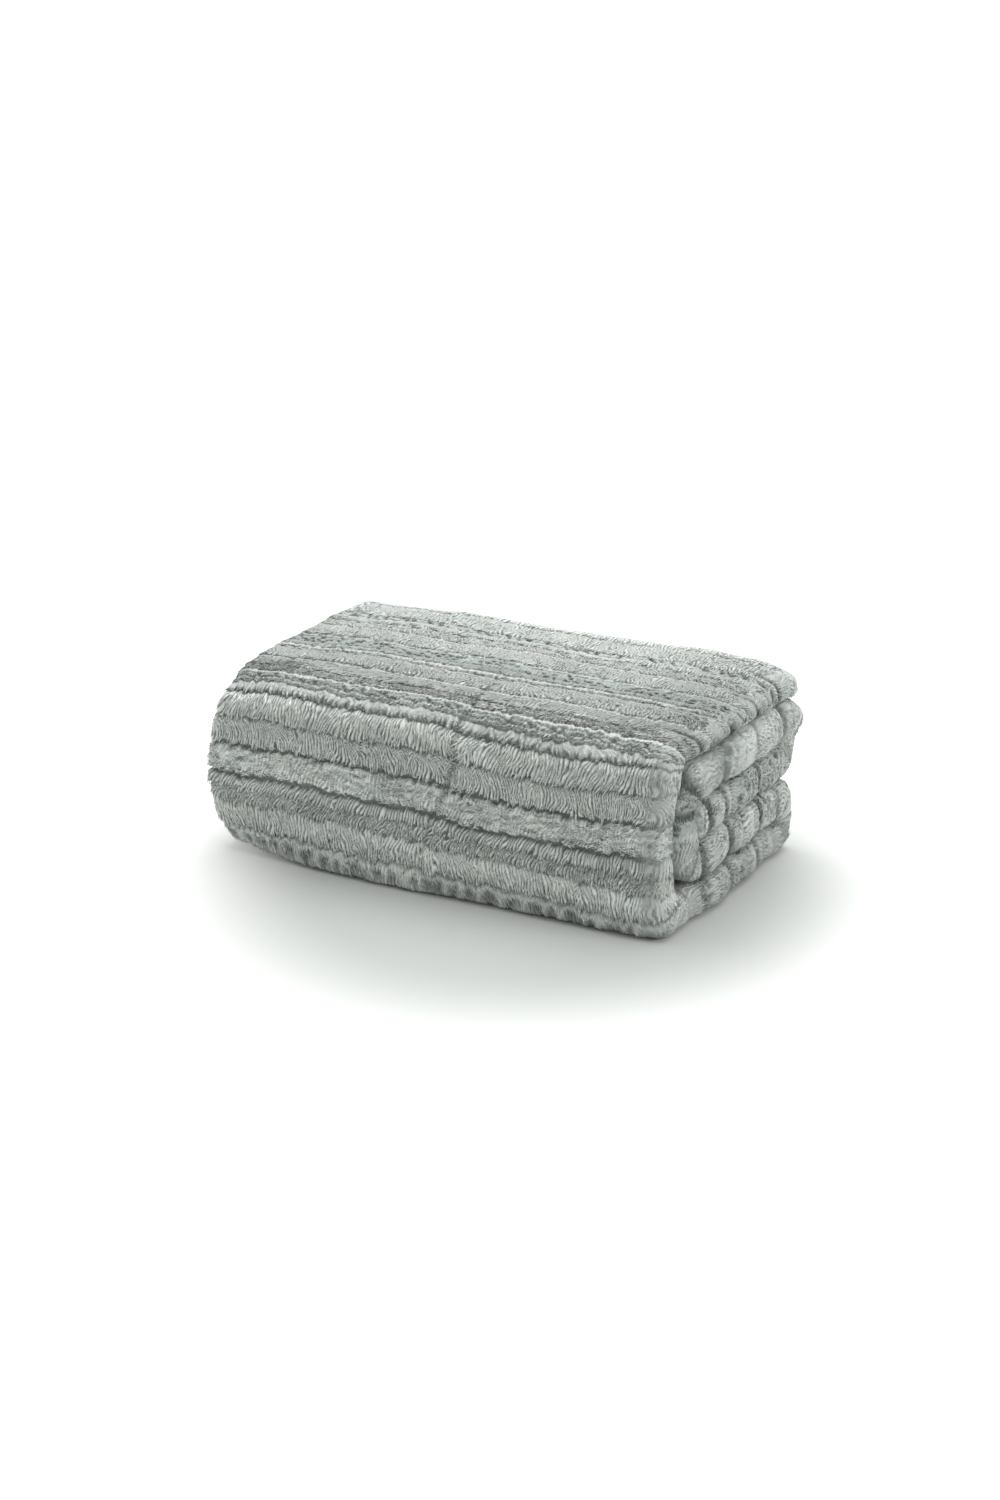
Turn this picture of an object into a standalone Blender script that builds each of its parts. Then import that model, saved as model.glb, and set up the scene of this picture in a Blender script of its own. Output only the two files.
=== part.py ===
"""Folded plush throw: a face panel and a lining panel, seamed all round, folded in three and stacked.

Frame: metres, +X along the folded block, +Y towards its back, +Z up, origin under the middle of the block.
The flat throw is folded twice:
  - first in three across its length, like a letter, which makes a long strip three plies thick. The edge of
    the third panel ends inside the wide fold at +X, and the edge of the second under the narrow fold at -X;
  - then the strip is stacked in five layers: over the top, down the front, under the bottom, back through
    the fourth layer, up inside the front, along the second layer, and in again as the third.
The care label hangs from the seam behind the top hem, and flips up about it.
"""

import math

import bmesh
import bpy
from mathutils import Vector

# The throw laid flat.
FLAT_LENGTH = 1.50
FLAT_WIDTH = 1.30

# One ply is the face panel over the lining panel. Plies keep a small gap to each other.
FACE_THICKNESS = 0.0086
LINING_THICKNESS = 0.0026
PANEL_GAP = 0.0003
PLY_GAP = 0.0006
PLY_THICKNESS = FACE_THICKNESS + PANEL_GAP + LINING_THICKNESS
PLY_PITCH = PLY_THICKNESS + PLY_GAP
PLIES = 3
LAYER_PITCH = PLIES * PLY_PITCH
LAYERS = 5

# The folded block.
BLOCK_DEPTH = 0.275
HEM_RECESS = 0.006  # the top layer stops this far short of the back
EDGE_OVERHANG = 0.006  # the outer free edge reaches past the middle of the narrow fold
EDGE_SETBACK = 0.012  # the hidden free edge stops short of the middle of the wide fold
CORNER_RADIUS = LAYER_PITCH / 2 + 0.0003

# Arc steps for a quarter turn of the stack, and for a half turn of a ply fold.
QUARTER_STEPS = 4
PLY_FOLD_STEPS = 6

# The sewing thread all round, where the two panels meet at the cut edge.
THREAD_RADIUS = 0.0006
THREAD_GAP = 0.0003

# The blank care label, sewn into the hem at the back of the top layer.
LABEL_WIDTH = 0.032
LABEL_DROP = 0.024
LABEL_THICKNESS = 0.0006
LABEL_FROM_LEFT_END = 0.090


def clear_scene():
    for obj in list(bpy.data.objects):
        bpy.data.objects.remove(obj, do_unlink=True)


def make_material(name, colour, roughness, sheen):
    material = bpy.data.materials.new(name)
    material.use_nodes = True
    shader = material.node_tree.nodes["Principled BSDF"]
    shader.inputs["Base Color"].default_value = (*colour, 1.0)
    shader.inputs["Roughness"].default_value = roughness
    shader.inputs["Metallic"].default_value = 0.0
    shader.inputs["Sheen Weight"].default_value = sheen
    return material


class Path:
    """A plane path of straight runs and arcs, as points with a unit normal on the left of travel."""

    def __init__(self, start, heading):
        self.at = Vector(start)
        self.heading = heading
        self.length = 0.0
        self.points = []
        self.keep()

    def direction(self):
        return Vector((math.cos(self.heading), math.sin(self.heading)))

    def keep(self):
        along = self.direction()
        self.points.append((self.at.copy(), Vector((-along.y, along.x))))

    def run(self, length):
        self.at = self.at + self.direction() * length
        self.length += length
        self.keep()

    def turn(self, angle, radius, steps):
        """Turns by angle, in radians, to the left where it is positive."""
        side = math.copysign(1.0, angle)
        along = self.direction()
        centre = self.at + Vector((-along.y, along.x)) * radius * side
        spoke = self.at - centre
        for step in range(1, steps + 1):
            part = angle * step / steps
            self.at = centre + Vector(
                (
                    spoke.x * math.cos(part) - spoke.y * math.sin(part),
                    spoke.x * math.sin(part) + spoke.y * math.cos(part),
                )
            )
            self.heading += angle / steps
            self.keep()
        self.length += radius * abs(angle)


def panel_run():
    """The straight length of the panel that lies between the two ply folds."""
    folds = math.pi * PLY_PITCH + math.pi * PLY_PITCH / 2
    return (FLAT_LENGTH - folds - EDGE_OVERHANG + EDGE_SETBACK) / 3


def letter_fold():
    """The ply's middle line across the throw's length, as (x, height in the strip).

    It starts at the outer free edge at -X on the strip's underside, goes round the wide fold at +X, back
    along the strip's upper side, round the narrow fold at -X and in to the hidden edge. Its right side is
    the fur side.
    """
    run = panel_run()
    reach = run + PLY_PITCH + 1.5 * PLY_PITCH - PLY_GAP
    left = -reach / 2 + PLY_PITCH - PLY_GAP / 2
    path = Path((left - EDGE_OVERHANG, -PLY_PITCH), 0.0)
    path.run(run + EDGE_OVERHANG)
    path.turn(math.pi, PLY_PITCH, 2 * PLY_FOLD_STEPS)
    path.run(run)
    path.turn(math.pi, PLY_PITCH / 2, PLY_FOLD_STEPS)
    path.run(run - EDGE_SETBACK)
    return path


def stack_fold():
    """The strip's middle line, as (y, z), from the hem at the top back to the hidden hem.

    The right side of travel is the strip's upper side, which faces inwards from the second layer on.
    """
    half = BLOCK_DEPTH / 2
    front = -half + LAYER_PITCH / 2
    back_turn = half - LAYER_PITCH
    top = (LAYERS - 0.5) * LAYER_PITCH - PLY_GAP / 2
    quarter = math.pi / 2
    path = Path((half - HEM_RECESS, top), math.pi)
    path.run(half - HEM_RECESS - front - CORNER_RADIUS)
    path.turn(quarter, CORNER_RADIUS, QUARTER_STEPS)
    path.run((LAYERS - 1) * LAYER_PITCH - 2 * CORNER_RADIUS)
    path.turn(quarter, CORNER_RADIUS, QUARTER_STEPS)
    path.run(back_turn - front - CORNER_RADIUS)
    path.turn(2 * quarter, LAYER_PITCH / 2, 2 * QUARTER_STEPS)
    inner_run = back_turn - (front + LAYER_PITCH) - CORNER_RADIUS
    path.run(inner_run)
    path.turn(-quarter, CORNER_RADIUS, QUARTER_STEPS)
    path.run(2 * LAYER_PITCH - 2 * CORNER_RADIUS)
    path.turn(-quarter, CORNER_RADIUS, QUARTER_STEPS)
    path.run(inner_run)
    path.turn(-2 * quarter, LAYER_PITCH / 2, 2 * QUARTER_STEPS)
    path.run(FLAT_WIDTH - path.length)
    return path


def placed(across, height, station):
    """The block's point at x = across and at this height in the strip, at a station of the stack."""
    point, left = station
    outwards = -left
    return Vector((across, point.x + outwards.x * height, point.y + outwards.y * height))


def fur_offset(section_point, offset):
    """A point of the strip's section, moved from the ply's middle line towards its fur side."""
    point, left = section_point
    return point - left * offset


def panel_mesh(name, low, high):
    """A closed sheet between two offsets from the ply's middle line, through both folds."""
    section = letter_fold().points
    outline = [fur_offset(p, high) for p in section]
    outline += [fur_offset(p, low) for p in reversed(section)]
    stations = stack_fold().points
    mesh = bpy.data.meshes.new(name)
    shape = bmesh.new()
    rings = [[shape.verts.new(placed(p.x, p.y, station)) for p in outline] for station in stations]
    count = len(outline)
    for near, far in zip(rings, rings[1:]):
        for i in range(count):
            j = (i + 1) % count
            shape.faces.new((near[i], near[j], far[j], far[i]))
    for ring in (rings[0], rings[-1]):
        for i in range(len(section) - 1):
            shape.faces.new((ring[i], ring[i + 1], ring[count - 2 - i], ring[count - 1 - i]))
    bmesh.ops.recalc_face_normals(shape, faces=shape.faces)
    shape.to_mesh(mesh)
    shape.free()
    return mesh


def add_mesh(name, mesh, material):
    mesh.materials.append(material)
    mesh.shade_smooth()
    mesh.set_sharp_from_angle(angle=math.radians(40))
    obj = bpy.data.objects.new(name, mesh)
    bpy.context.scene.collection.objects.link(obj)
    return obj


def pushed_out(points, distance):
    """A path's points, with the two ends moved outwards along their own runs."""
    moved = list(points)
    for end, inner in ((0, 1), (-1, -2)):
        point, left = points[end]
        away = (point - points[inner][0]).normalized()
        moved[end] = (point + away * distance, left)
    return moved


def seam_points(join):
    """The closed line along the throw's four cut edges, just outside them, at the panels' joint."""
    clear = THREAD_GAP + THREAD_RADIUS
    section = [fur_offset(p, join) for p in pushed_out(letter_fold().points, clear)]
    stations = pushed_out(stack_fold().points, clear)
    first_side = [placed(section[0].x, section[0].y, s) for s in stations]
    far_end = [placed(p.x, p.y, stations[-1]) for p in section[1:]]
    last_side = [placed(section[-1].x, section[-1].y, s) for s in reversed(stations[:-1])]
    near_end = [placed(p.x, p.y, stations[0]) for p in reversed(section[1:-1])]
    return first_side + far_end + last_side + near_end


def add_seam(name, join, material):
    """The thread, a closed tube along the four cut edges."""
    points = seam_points(join)
    curve = bpy.data.curves.new(name, "CURVE")
    curve.dimensions = "3D"
    curve.bevel_depth = THREAD_RADIUS
    curve.bevel_resolution = 0
    spline = curve.splines.new("POLY")
    spline.points.add(len(points) - 1)
    for target, point in zip(spline.points, points):
        target.co = (*point, 1.0)
    spline.use_cyclic_u = True
    curve.materials.append(material)
    obj = bpy.data.objects.new(name, curve)
    bpy.context.scene.collection.objects.link(obj)
    return obj


def label_mesh(name, join):
    """The label's tape, hanging from the seam of the upper ply behind the hem."""
    hem, _ = stack_fold().points[0]
    near = hem.x + 2 * (THREAD_GAP + THREAD_RADIUS)
    seam_height = hem.y + PLY_PITCH + join
    centre = -panel_run() / 2 + LABEL_FROM_LEFT_END
    mesh = bpy.data.meshes.new(name)
    shape = bmesh.new()
    bmesh.ops.create_cube(shape, size=1.0)
    bmesh.ops.scale(shape, verts=shape.verts, vec=(LABEL_WIDTH, LABEL_THICKNESS, LABEL_DROP))
    middle = Vector((centre, near + LABEL_THICKNESS / 2, seam_height - LABEL_DROP / 2))
    bmesh.ops.translate(shape, verts=shape.verts, vec=middle)
    shape.to_mesh(mesh)
    shape.free()
    return mesh


def build():
    clear_scene()
    fur_side = PLY_THICKNESS / 2
    face_back = fur_side - FACE_THICKNESS
    lining_front = face_back - PANEL_GAP
    join = face_back - PANEL_GAP / 2
    plush = make_material("carved_plush", (0.36, 0.39, 0.36), 0.95, 0.6)
    fleece = make_material("lining_fleece", (0.40, 0.43, 0.40), 0.9, 0.4)
    thread = make_material("sewing_thread", (0.33, 0.36, 0.33), 0.6, 0.1)
    tape = make_material("label_tape", (0.80, 0.80, 0.78), 0.5, 0.1)
    add_mesh("face_panel", panel_mesh("face_panel", face_back, fur_side), plush)
    add_mesh("lining_panel", panel_mesh("lining_panel", -fur_side, lining_front), fleece)
    add_seam("perimeter_seam", join, thread)
    add_mesh("care_label", label_mesh("care_label", join), tape)


build()
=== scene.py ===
"""The folded plush throw: carved ribs, pile, lining, hem seam and care label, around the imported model.

Everything is in metres in the row frame: +X along the block, +Y to its back, +Z up.
The throw is worked out on its flat cloth and then folded. A place on the cloth is (u, s): u along the throw's
length, through the letter fold, and s across its width, through the stack. The ribs run along u.
"""

import math

import bpy
import numpy as np
from mathutils import Matrix, Vector


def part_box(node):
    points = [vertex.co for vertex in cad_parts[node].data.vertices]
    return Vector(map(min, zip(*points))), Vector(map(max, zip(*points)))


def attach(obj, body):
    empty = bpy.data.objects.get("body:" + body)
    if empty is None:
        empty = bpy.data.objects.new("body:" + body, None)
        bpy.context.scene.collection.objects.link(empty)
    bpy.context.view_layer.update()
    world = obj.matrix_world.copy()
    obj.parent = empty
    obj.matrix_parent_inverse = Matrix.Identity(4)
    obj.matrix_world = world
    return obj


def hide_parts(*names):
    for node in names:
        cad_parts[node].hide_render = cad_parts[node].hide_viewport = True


MM = 0.001

# The fold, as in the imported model.
FLAT_LENGTH = 1.50
FLAT_WIDTH = 1.30
FACE_THICKNESS = 0.0086
LINING_THICKNESS = 0.0026
PANEL_GAP = 0.0003
PLY_GAP = 0.0006
PLY_THICKNESS = FACE_THICKNESS + PANEL_GAP + LINING_THICKNESS
PLY_PITCH = PLY_THICKNESS + PLY_GAP
LAYER_PITCH = 3 * PLY_PITCH
LAYERS = 5
BLOCK_DEPTH = 0.275
HEM_RECESS = 0.006
EDGE_OVERHANG = 0.006
EDGE_SETBACK = 0.012
CORNER_RADIUS = LAYER_PITCH / 2 + 0.0003
BLOCK_HEIGHT = LAYERS * LAYER_PITCH - PLY_GAP
HALF_DEPTH = BLOCK_DEPTH / 2

# Heights above a ply's middle line.
FUR_TOP = PLY_THICKNESS / 2
FACE_BACK = FUR_TOP - FACE_THICKNESS
JOIN = FACE_BACK - PANEL_GAP / 2
LINING_FRONT = FACE_BACK - PANEL_GAP
LINING_BACK = -PLY_THICKNESS / 2
OUTER = PLY_PITCH + FUR_TOP  # from the stack's middle line to the fur outside it

TAU = 2 * math.pi


# -------- noise

def hash01(a, b, seed):
    """A number from 0 to 1 for each pair of whole numbers."""
    n = np.asarray(a, np.int64) * 374761393 + np.asarray(b, np.int64) * 668265263 + seed * 974634777
    n = (n ^ (n >> 13)) * 1274126177
    n = n ^ (n >> 16)
    return (n & 0xFFFFF) / float(0xFFFFF)


def noise(x, y, seed):
    """Smooth noise from -1 to 1 on a lattice of one unit."""
    x, y = np.broadcast_arrays(np.asarray(x, float), np.asarray(y, float))
    i, j = np.floor(x).astype(np.int64), np.floor(y).astype(np.int64)
    fx, fy = x - i, y - j
    fx, fy = fx * fx * (3 - 2 * fx), fy * fy * (3 - 2 * fy)
    low = hash01(i, j, seed) * (1 - fx) + hash01(i + 1, j, seed) * fx
    high = hash01(i, j + 1, seed) * (1 - fx) + hash01(i + 1, j + 1, seed) * fx
    return 2 * (low * (1 - fy) + high * fy) - 1


def smooth(x, low, high):
    t = np.clip((x - low) / (high - low), 0, 1)
    return t * t * (3 - 2 * t)


def bell(x, centre, width):
    return np.exp(-(((x - centre) / width) ** 2))


# -------- the fold

class Path:
    """A plane path of straight runs and arcs, read at any distance along it."""

    def __init__(self, x, y, heading):
        self.at = [x, y]
        self.heading = heading
        self.length = 0.0
        self.turned = 0.0
        self.pieces = []

    def add(self, length, bend):
        self.pieces.append((self.length, *self.at, self.heading, bend, self.turned))
        x, y, self.heading = self.step(*self.at, self.heading, bend, length)
        self.at = [float(x), float(y)]
        self.length += length
        self.turned += abs(bend) * length

    @staticmethod
    def step(x, y, heading, bend, along):
        end = heading + bend * along
        straight = np.abs(bend) < 1e-9
        safe = np.where(straight, 1.0, bend)
        dx = np.where(straight, np.cos(heading) * along, (np.sin(end) - np.sin(heading)) / safe)
        dy = np.where(straight, np.sin(heading) * along, -(np.cos(end) - np.cos(heading)) / safe)
        return x + dx, y + dy, end

    def run(self, length):
        self.add(length, 0.0)

    def turn(self, angle, radius):
        self.add(abs(angle) * radius, math.copysign(1 / radius, angle))

    def read(self, distance):
        """Points, headings and the angle turned so far, left or right."""
        distance = np.asarray(distance, float)
        table = np.array(self.pieces)
        which = np.clip(np.searchsorted(table[:, 0], distance, "right") - 1, 0, len(table) - 1)
        start, x, y, heading, bend, turned = table[which].T
        along = distance - start
        x, y, heading = self.step(x, y, heading, bend, along)
        return x, y, heading, turned + np.abs(bend) * along


def panel_run():
    folds = math.pi * PLY_PITCH + math.pi * PLY_PITCH / 2
    return (FLAT_LENGTH - folds - EDGE_OVERHANG + EDGE_SETBACK) / 3


def letter_fold():
    """The ply's middle line across the throw's length, (x, height), with the fur on its right."""
    run = panel_run()
    reach = run + PLY_PITCH + 1.5 * PLY_PITCH - PLY_GAP
    left = -reach / 2 + PLY_PITCH - PLY_GAP / 2
    path = Path(left - EDGE_OVERHANG, -PLY_PITCH, 0.0)
    path.run(run + EDGE_OVERHANG)
    path.turn(math.pi, PLY_PITCH)
    path.run(run)
    path.turn(math.pi, PLY_PITCH / 2)
    path.run(run - EDGE_SETBACK)
    return path


def stack_fold():
    """The strip's middle line, (y, z), from the hem at the top back, with its upper side on the right."""
    front = -HALF_DEPTH + LAYER_PITCH / 2
    back_turn = HALF_DEPTH - LAYER_PITCH
    quarter = math.pi / 2
    path = Path(HALF_DEPTH - HEM_RECESS, (LAYERS - 0.5) * LAYER_PITCH - PLY_GAP / 2, math.pi)
    path.run(HALF_DEPTH - HEM_RECESS - front - CORNER_RADIUS)
    path.turn(quarter, CORNER_RADIUS)
    path.run((LAYERS - 1) * LAYER_PITCH - 2 * CORNER_RADIUS)
    path.turn(quarter, CORNER_RADIUS)
    path.run(back_turn - front - CORNER_RADIUS)
    path.turn(2 * quarter, LAYER_PITCH / 2)
    inner_run = back_turn - (front + LAYER_PITCH) - CORNER_RADIUS
    path.run(inner_run)
    path.turn(-quarter, CORNER_RADIUS)
    path.run(2 * LAYER_PITCH - 2 * CORNER_RADIUS)
    path.turn(-quarter, CORNER_RADIUS)
    path.run(inner_run)
    path.turn(-2 * quarter, LAYER_PITCH / 2)
    path.run(FLAT_WIDTH - path.length)
    return path


LETTER = letter_fold()
STACK = stack_fold()
# Where each run or turn starts: for U_MARKS the lower ply, wide fold, upper ply, narrow fold and middle ply.
U_MARKS = [piece[0] for piece in LETTER.pieces] + [FLAT_LENGTH]
S_MARKS = [piece[0] for piece in STACK.pieces] + [FLAT_WIDTH]

# Distance along the outside of the folds, which is where the ribs keep their width.
S_GRID = np.linspace(0, FLAT_WIDTH, 5201)
W_GRID = S_GRID + OUTER * STACK.read(S_GRID)[3]


def outside(s):
    """The distance w along the outside of the folds for a place s, and inside(w) the other way."""
    return np.interp(s, S_GRID, W_GRID)


def inside(w):
    return np.interp(w, W_GRID, S_GRID)


def station(run, y):
    """The place along the stack where one of its straight runs passes this depth."""
    start = S_MARKS[run]
    first, _, heading, _ = STACK.read(start + 1e-6)
    return start + (y - float(first)) * math.copysign(1.0, math.cos(heading))


# -------- how the soft block settles

# Where the rolled right end creases: the top, bottom, fourth, second and third layers, at these depths.
PUCKERS = {
    0: (-0.080, -0.022, 0.040, 0.092),
    4: (-0.069, -0.010, 0.055),
    6: (0.055, -0.005, -0.059),
    10: (-0.078, -0.022, 0.040, 0.098),
    12: (0.049, -0.015, -0.042),
}
INNER_FRONT_PUCKER = S_MARKS[8] + 0.030
BEYOND_ENDS = (-0.030, FLAT_WIDTH + 0.030)
CREASES = [station(run, y) for run, depths in PUCKERS.items() for y in depths]
CREASES = np.sort([*CREASES, INNER_FRONT_PUCKER, *BEYOND_ENDS])


def pucker(s):
    """The rolled end's fullness, 0 in a crease and 1 midway, and the nearest crease's distance and number."""
    after = np.clip(np.searchsorted(CREASES, s), 1, len(CREASES) - 1)
    low, high = CREASES[after - 1], CREASES[after]
    t = np.clip((s - low) / (high - low), 0, 1)
    away = np.minimum(np.abs(s - low), np.abs(high - s))
    return np.sin(np.pi * t) ** 0.6, away, np.where(t < 0.5, after - 1, after)


ROLL_CENTRE = float(LETTER.read(U_MARKS[1])[0])
BACK_TURN = float(STACK.read(S_MARKS[5])[0])
FRONT_TURN = float(STACK.read(S_MARKS[4])[0])
BOTTOM_TURN = float(STACK.read(S_MARKS[3])[1])
ROLL_POWER, ROLL_SHARE = 3.5, 0.85  # how square a stuffed roll is, and how much of that it takes
CORNER_POWER = 8.0  # how square the lower front corner is


def squarer(across, centre, height):
    """A stuffed roll past this centre is fuller than a half circle, so that the layers touch."""
    beyond = np.maximum(across - centre, 0)
    reach = np.hypot(beyond, height)
    q = np.clip(np.abs(height) / np.maximum(reach, 1e-9), 0, 1)
    fuller = reach * ((1 - q**ROLL_POWER) ** (1 / ROLL_POWER) - np.sqrt(1 - q**2))
    return across + ROLL_SHARE * np.where(beyond > 0, fuller, 0)


def square_corner(y, z):
    """The outer plies crowd into the lower front corner, so it is squarer than the strip's own turn."""
    dy, dz = y - FRONT_TURN, z - BOTTOM_TURN
    reach = np.maximum(np.hypot(dy, dz), 1e-9)
    fuller = (np.abs(dy / reach) ** CORNER_POWER + np.abs(dz / reach) ** CORNER_POWER) ** (-1 / CORNER_POWER)
    return FRONT_TURN + dy * fuller, BOTTOM_TURN + dz * fuller


END_START, END_FULL = 0.140, 0.252  # where the right end starts to droop, and where it has drooped fully
LEFT_START, LEFT_FULL = -0.120, -0.262  # where the left end starts to pull in, and where it has done so fully
LEFT_MIDDLE = 0.078  # the height at which the left end reaches furthest out
# The layers' heights at the right end: as stacked, and as the slack folds lie.
STACKED = np.array([0.0, 36.3, 72.6, 108.9, 145.2, 180.9, 200.0]) * MM
SETTLED = np.array([0.0, 34.0, 76.0, 113.0, 154.0, 179.0, 196.0]) * MM
# How far the front is drawn back on the right end's inner layers, by depth.
TUCK_Y, TUCK = [-0.1375, -0.101, -0.065, 0.030], [0.0, -0.007, -0.016, 0.0]
LABEL_X, LABEL_TOP = -0.1515, 0.17215
# How much of its bulk the soft block moves, in metres.
TOP_SWELL, TOP_REACH, FRONT_SKIRT, FRONT_BULGE, LEFT_SLUMP = 0.0075, 0.004, 0.0115, 0.0020, 0.005


def right_end(x, y, z, s, depth):
    """How far the slack right end moves in x, y and z, and how loose it is."""
    right = smooth(x, END_START, END_FULL)
    tip = smooth(x, 0.205, 0.262) ** 1.5
    toward_back = smooth(y, -0.02, 0.11)
    drop = np.interp(z, STACKED, SETTLED) - z
    crease = bell(z, 0.150, 0.030) * (0.006 * (1 - depth**2) - 0.002)
    corner = smooth(y, 0.080, 0.130) * bell(z, 0.130, 0.018)
    # The top layer's own end hangs, most of all at the back.
    upper_half = smooth(z, 0.146, 0.175) * (0.005 + 0.005 * toward_back)
    lower_half = 0.006 * smooth(z, 0.1445, 0.150) * (1 - smooth(z, 0.160, 0.178)) * toward_back
    droop = tip * (upper_half + lower_half)
    # Between its creases the roll stands out, and the back corner of the layer under the top most of all.
    fullness = (0.0035 - 0.002 * smooth(z, 0.144, 0.150)) * (pucker(s)[0] - 0.85) * smooth(x, 0.19, 0.25)
    poke = 0.004 * bell(z, 0.127, 0.016) * toward_back + 0.006 * corner + fullness
    inner = smooth(z, 0.030, 0.045) * (1 - smooth(z, 0.140, 0.155))
    tuck = np.interp(y, TUCK_Y, TUCK) * inner
    tuck = tuck - 0.012 * smooth(s, S_MARKS[12] + 0.07, FLAT_WIDTH)
    pinch = smooth(-y, 0.055, 0.105) * (0.007 + 0.009 * bell(z, 0.088, 0.042))
    loose = 0.0015 * noise(s / 0.045, 0.0, 11) + 0.0012 * noise(s / 0.018, 3.0, 12)
    move_x = -right * (pinch - 0.001 + loose - poke)
    return move_x, right * tuck, right * (drop + crease + 0.005 * corner) - droop, loose


def left_end(x, y, z, depth, loose):
    """How far the left end moves in x, rounded like a pillow, and how much of it is rounded."""
    left = smooth(-x, -LEFT_START, -LEFT_FULL) ** 1.3
    lift = np.where(z > LEFT_MIDDLE, (z - LEFT_MIDDLE) / 0.103, (LEFT_MIDDLE - z) / LEFT_MIDDLE)
    lift = np.clip(lift, 0, 1.1) ** 1.8
    side = depth**2
    pull = 0.008 * lift + 0.003 * side + np.where(y < 0, 0.024, 0.015) * side * lift
    return left * pull + 0.6 * left * loose, left


def settle(p, s):
    """Moves points of the even block to where the soft one lies."""
    x, y, z = p[..., 0], p[..., 1], p[..., 2]
    rise = np.clip(z / BLOCK_HEIGHT, 0, 1.1)
    depth = np.clip(y / HALF_DEPTH, -1.1, 1.1)
    # Round the label the hem stays put, and above it so does the top.
    near_hem = (1 - smooth(np.abs(x - LABEL_X), 0.018, 0.045)) * smooth(y, 0.108, 0.126)
    near_label = near_hem * np.exp(-((np.maximum(z - LABEL_TOP, 0) / 0.005) ** 2))
    right_x, right_y, right_z, loose = right_end(x, y, z, s, depth)
    left_x, left = left_end(x, y, z, depth, loose)
    # The whole: slow waves, a front that bulges a little, and a top layer that rises and reaches out behind.
    wave = 0.0016 * noise(x / 0.09 + 3.1, y / 0.07 + z / 0.05, 5)
    wave = (wave + 0.0010 * noise(x / 0.04, y / 0.035 + z / 0.03, 6)) * (1 - near_label)
    bulge = FRONT_BULGE * np.sin(np.pi * np.clip(rise, 0, 1)) * np.clip(np.abs(depth), 0, 1) ** 2
    skirt = FRONT_SKIRT * smooth(-y, 0.085, 0.1375) * bell(z, 0.012, 0.045) * smooth(x, -0.30, -0.06)
    upper = smooth(z, 0.135, 0.160)
    swell = TOP_SWELL * upper * smooth(y, -0.02, 0.135) * (1 - near_label)
    reach = TOP_REACH * upper * smooth(y, 0.09, 0.13) * (1 - near_hem)
    slump = LEFT_SLUMP * left * rise**1.5
    out = np.empty_like(p)
    out[..., 0] = x + right_x + left_x
    out[..., 1] = y + (np.sign(y) * bulge + wave * depth) * (1 - near_hem) + reach - skirt + right_y
    out[..., 2] = z + right_z - slump + wave * rise + swell + 0.002 * rise
    return out


def folded(u, s, h):
    """Where a point h above the ply's middle line lies in the settled block."""
    x, height, turn, _ = LETTER.read(u)
    y, z, heading, _ = STACK.read(s)
    x = x + np.sin(turn) * h
    height = height - np.cos(turn) * h
    x = squarer(x, ROLL_CENTRE, height)
    y = y + np.sin(heading) * height
    z = z - np.cos(heading) * height
    middle = np.where(z < 2 * LAYER_PITCH, LAYER_PITCH, 3 * LAYER_PITCH) - PLY_GAP / 2
    y = np.where(s > S_MARKS[2], squarer(y, BACK_TURN, z - middle), y)
    corner_y, corner_z = square_corner(y, z)
    turning = (s > S_MARKS[3]) & (s < S_MARKS[4])
    squared = np.where(turning, 0.3 + 0.7 * smooth(x, -0.25, -0.13), 0.0)
    y, z = y + squared * (corner_y - y), z + squared * (corner_z - z)
    return settle(np.stack(np.broadcast_arrays(x, y, z), axis=-1), s)


# -------- the carved ribs

# Each kind of rib: how high its pile stands, in mm; how much of that it has at its upper edge, as the pile
# is combed down and is highest at its lower lip; how deep and how far apart its strokes are, in mm; how light
# it is, which for the grooves and lines is painted shade; how much lighter its strokes are than their gaps,
# which are painted in shade; and how long, in mm, and upright its locks are.
KIND_VALUES = ("crown", "start", "stroke", "pitch", "tone", "tint", "tuft", "lie")
KIND_UNITS = (MM, 1, MM, MM, 1, 1, MM, 1)
KINDS = {
    "wide": (5.0, 0.80, 1.7, 3.5, 0.74, 1.15, 9.0, 0.20),
    "dense": (4.8, 0.80, 2.3, 2.9, 0.56, 1.55, 7.5, 0.24),
    "rope": (5.2, 0.50, 0.8, 6.0, 0.52, 0.35, 5.0, 0.40),
    "thin": (4.2, 0.60, 0.5, 4.5, 0.58, 0.25, 5.0, 0.30),
    "heather": (4.3, 0.80, 1.9, 2.9, 0.44, 1.15, 5.5, 0.45),
    "beaded": (4.4, 0.75, 0.6, 3.4, 0.60, 0.35, 5.5, 0.30),
    "groove": (0.3, 0.20, 0.2, 3.0, 0.03, 0.10, 1.5, 0.90),
    "line": (2.4, 0.60, 0.6, 4.0, 0.30, 0.50, 2.5, 0.60),
    "streak": (4.7, 0.75, 1.5, 3.6, 0.66, 0.70, 8.0, 0.18),
    "dimple": (4.6, 0.80, 1.0, 3.4, 0.66, 0.70, 5.0, 0.45),
}
KIND_NAMES = list(KINDS)
KIND_TABLE = dict(zip(KIND_VALUES, (np.array(list(KINDS.values())) * KIND_UNITS).T))
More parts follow.
